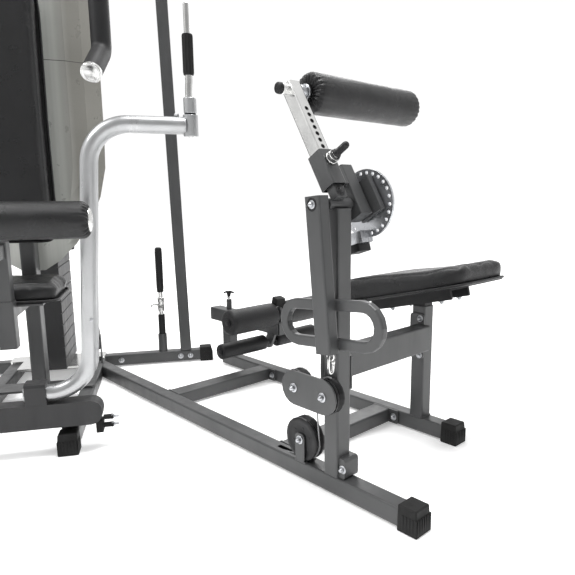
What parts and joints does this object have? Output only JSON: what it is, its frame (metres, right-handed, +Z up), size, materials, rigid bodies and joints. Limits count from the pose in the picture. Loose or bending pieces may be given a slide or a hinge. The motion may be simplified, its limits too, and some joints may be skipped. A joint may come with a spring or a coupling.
{
  "type": "multi station home gym",
  "caption": "Weight-stack home gym: tower with press arms, lat bar and seat, joined by a base beam to an ab and back station with chest roller, sloping seat and foot rollers.",
  "frame": {"origin": "centre of the footprint box on the floor", "axes": "+X along the base beam of the ab and back station, towards its front foot; +Y across that station, from its base beam towards its seat; +Z up"},
  "size_m": [2.2928, 1.8366, 2.15],
  "materials": {
    "frame": "satin anthracite powder coat",
    "silver": "satin silver paint",
    "chrome": "polished chrome plate",
    "vinyl": "black upholstery vinyl over foam",
    "foam": "matt black foam sleeve",
    "rubber": "matt moulded rubber",
    "plastic": "black moulded nylon",
    "shroud": "satin grey green painted sheet",
    "iron": "black painted iron",
    "cable": "coated steel wire rope"
  },
  "bodies": {
    "gym_frame": {"ab_base_beam": "frame", "ab_cable": "cable", "ab_front_foot": "rubber", "ab_rear_beam": "frame", "ab_rear_foot": "rubber", "ab_seat_bracket": "plastic", "ab_seat_pad": "vinyl", "cross_rail_left": "frame", "cross_rail_right": "frame", "front_cross_beam": "frame", "front_foot_left": "rubber", "front_foot_right": "rubber", "lat_cable": "cable", "main_backrest_pad": "vinyl", "main_seat_pad": "vinyl", "rear_foot_left": "rubber", "rear_foot_right": "rubber", "seat_beam": "frame", "seat_column": "frame", "stack_guide_rods": "chrome", "stack_shroud": "shroud", "station_post": "frame", "top_frame": "frame", "tower_base_frame": "frame", "upright_left": "frame", "upright_right": "frame", "weight_stack": "iron"},
    "lever": {"ab_lever": "frame", "adjuster_disc": "chrome"},
    "roller_arm": {"arm_sleeve": "frame"},
    "chrome_tube": {"chrome_arm": "chrome"},
    "chest_roller_body": {"chest_roller": "vinyl"},
    "arm_pin_body": {"arm_pin": "plastic"},
    "boom": {"leg_boom": "frame"},
    "boom_pin_body": {"boom_pin": "plastic"},
    "press_right": {"press_arm_right": "silver"},
    "press_left": {"press_arm_left": "silver"},
    "grip_right_body": {"grip_right": "rubber"},
    "grip_left_body": {"grip_left": "rubber"},
    "fly_right": {"fly_arm_right": "foam"},
    "fly_left": {"fly_arm_left": "foam"},
    "thigh_frame": {"thigh_post": "frame"},
    "stack_head": {"weight_head": "iron"},
    "selector": {"selector_pin": "plastic"},
    "curl_bar_body": {"curl_bar": "rubber"},
    "lat_bar_body": {"lat_bar": "chrome"},
    "upper_foot_roller_near_body": {"upper_foot_roller_near": "foam"},
    "upper_foot_roller_far_body": {"upper_foot_roller_far": "foam"},
    "lower_foot_roller_near_body": {"lower_foot_roller_near": "foam"},
    "lower_foot_roller_far_body": {"lower_foot_roller_far": "foam"},
    "thigh_roller_left_body": {"thigh_roller_left": "foam"},
    "thigh_roller_right_body": {"thigh_roller_right": "foam"},
    "guide_pulley_front_body": {"guide_pulley_front": "plastic"},
    "guide_pulley_rear_body": {"guide_pulley_rear": "plastic"},
    "low_pulley_body": {"low_pulley": "plastic"},
    "rail_pulley_body": {"rail_pulley": "plastic"},
    "return_pulley_body": {"return_pulley": "plastic"},
    "lat_pulley_front_body": {"lat_pulley_front": "plastic"},
    "lat_pulley_rear_body": {"lat_pulley_rear": "plastic"}
  },
  "joints": [
    {"name": "ab_lever_swing", "type": "hinge", "parent": "gym_frame", "child": "lever", "pos_m": [0.86068, 0.16, 0.77], "axis": [0, 1, 0], "range_deg": [-65, 0]},
    {"name": "roller_arm_setting", "type": "hinge", "parent": "lever", "child": "roller_arm", "pos_m": [0.86068, 0.16, 0.77], "axis": [0, 1, 0], "range_deg": [-15, 30]},
    {"name": "chrome_arm_reach", "type": "slide", "parent": "roller_arm", "child": "chrome_tube", "axis": [-0.5195, 0, 0.8545], "range_m": [-0.03, 0.04]},
    {"name": "chest_roller_spin", "type": "hinge", "parent": "chrome_tube", "child": "chest_roller_body", "pos_m": [0.70968, 0.418, 1.05453], "axis": [0, 1, 0], "continuous": true},
    {"name": "arm_pin_pull", "type": "slide", "parent": "roller_arm", "child": "arm_pin_body", "axis": [0.8545, 0, 0.5195], "range_m": [0, 0.012], "stiffness_N_per_m": 600, "springref_m": -0.002},
    {"name": "leg_boom_reach", "type": "slide", "parent": "gym_frame", "child": "boom", "axis": [1, 0, 0], "range_m": [-0.08, 0.1]},
    {"name": "boom_pin_pull", "type": "slide", "parent": "gym_frame", "child": "boom_pin_body", "axis": [0, 0, 1], "range_m": [0, 0.014], "stiffness_N_per_m": 600, "springref_m": -0.002},
    {"name": "upper_foot_roller_near_spin", "type": "hinge", "parent": "boom", "child": "upper_foot_roller_near_body", "pos_m": [0.04668, 0.5133, 0.296], "axis": [0, 1, 0], "continuous": true},
    {"name": "upper_foot_roller_far_spin", "type": "hinge", "parent": "boom", "child": "upper_foot_roller_far_body", "pos_m": [0.04668, 0.7993, 0.296], "axis": [0, 1, 0], "continuous": true},
    {"name": "lower_foot_roller_near_spin", "type": "hinge", "parent": "boom", "child": "lower_foot_roller_near_body", "pos_m": [-0.01332, 0.5133, 0.168], "axis": [0, 1, 0], "continuous": true},
    {"name": "lower_foot_roller_far_spin", "type": "hinge", "parent": "boom", "child": "lower_foot_roller_far_body", "pos_m": [-0.01332, 0.7993, 0.168], "axis": [0, 1, 0], "continuous": true},
    {"name": "guide_pulley_front_spin", "type": "hinge", "parent": "gym_frame", "child": "guide_pulley_front_body", "pos_m": [0.87068, 0.115, 0.288], "axis": [0, 1, 0], "continuous": true},
    {"name": "guide_pulley_rear_spin", "type": "hinge", "parent": "gym_frame", "child": "guide_pulley_rear_body", "pos_m": [0.76368, 0.115, 0.288], "axis": [0, 1, 0], "continuous": true},
    {"name": "low_pulley_spin", "type": "hinge", "parent": "gym_frame", "child": "low_pulley_body", "pos_m": [0.74268, 0.155, 0.121], "axis": [0, 1, 0], "continuous": true},
    {"name": "rail_pulley_spin", "type": "hinge", "parent": "gym_frame", "child": "rail_pulley_body", "pos_m": [-0.5885, 0.14597, 0.165], "axis": [0.5, 0.866, 0], "continuous": true},
    {"name": "return_pulley_spin", "type": "hinge", "parent": "gym_frame", "child": "return_pulley_body", "pos_m": [-0.66717, 0.09872, 1.93], "axis": [-0.866, 0.5, 0], "continuous": true},
    {"name": "lat_pulley_front_spin", "type": "hinge", "parent": "gym_frame", "child": "lat_pulley_front_body", "pos_m": [0.0401, -0.41325, 2.03], "axis": [0.5, 0.866, 0], "continuous": true},
    {"name": "lat_pulley_rear_spin", "type": "hinge", "parent": "gym_frame", "child": "lat_pulley_rear_body", "pos_m": [-0.68043, 0.00275, 2.03], "axis": [0.5, 0.866, 0], "continuous": true},
    {"name": "press_arm_right_swing", "type": "hinge", "parent": "gym_frame", "child": "press_right", "pos_m": [0.05176, -0.31606, 0.195], "axis": [0.5, 0.866, 0], "range_deg": [-22, 5]},
    {"name": "grip_right_swivel", "type": "hinge", "parent": "press_right", "child": "grip_right_body", "pos_m": [0.29676, 0.10829, 0.995], "axis": [0, 0, 1], "continuous": true},
    {"name": "press_arm_left_swing", "type": "hinge", "parent": "gym_frame", "child": "press_left", "pos_m": [-0.03824, -0.47194, 0.195], "axis": [0.5, 0.866, 0], "range_deg": [-22, 5]},
    {"name": "grip_left_swivel", "type": "hinge", "parent": "press_left", "child": "grip_left_body", "pos_m": [-0.28324, -0.8963, 0.995], "axis": [0, 0, 1], "continuous": true},
    {"name": "fly_arm_right_swing", "type": "hinge", "parent": "gym_frame", "child": "fly_right", "pos_m": [-0.19439, -0.1624, 2.079], "axis": [0, 0, 1], "range_deg": [-75, 20]},
    {"name": "fly_arm_left_swing", "type": "hinge", "parent": "gym_frame", "child": "fly_left", "pos_m": [-0.29439, -0.33561, 2.079], "axis": [0, 0, 1], "range_deg": [-20, 75]},
    {"name": "thigh_post_height", "type": "slide", "parent": "gym_frame", "child": "thigh_frame", "axis": [0, 0, 1], "range_m": [-0.06, 0.06]},
    {"name": "thigh_roller_right_spin", "type": "hinge", "parent": "thigh_frame", "child": "thigh_roller_right_body", "pos_m": [0.22532, -0.33544, 0.725], "axis": [0.5, 0.866, 0], "continuous": true},
    {"name": "thigh_roller_left_spin", "type": "hinge", "parent": "thigh_frame", "child": "thigh_roller_left_body", "pos_m": [0.06532, -0.61257, 0.725], "axis": [0.5, 0.866, 0], "continuous": true},
    {"name": "stack_lift", "type": "slide", "parent": "gym_frame", "child": "stack_head", "axis": [0, 0, 1], "range_m": [0, 0.75]},
    {"name": "selector_pin_pull", "type": "slide", "parent": "stack_head", "child": "selector", "axis": [0.5, 0.866, 0], "range_m": [0, 0.04]},
    {"name": "curl_bar_lift", "type": "slide", "parent": "gym_frame", "child": "curl_bar_body", "axis": [0, 0, 1], "range_m": [0, 0.3]},
    {"name": "lat_bar_swivel", "type": "hinge", "parent": "gym_frame", "child": "lat_bar_body", "pos_m": [0.07171, -0.4315, 1.86], "axis": [0, 0, 1], "continuous": true}
  ]
}
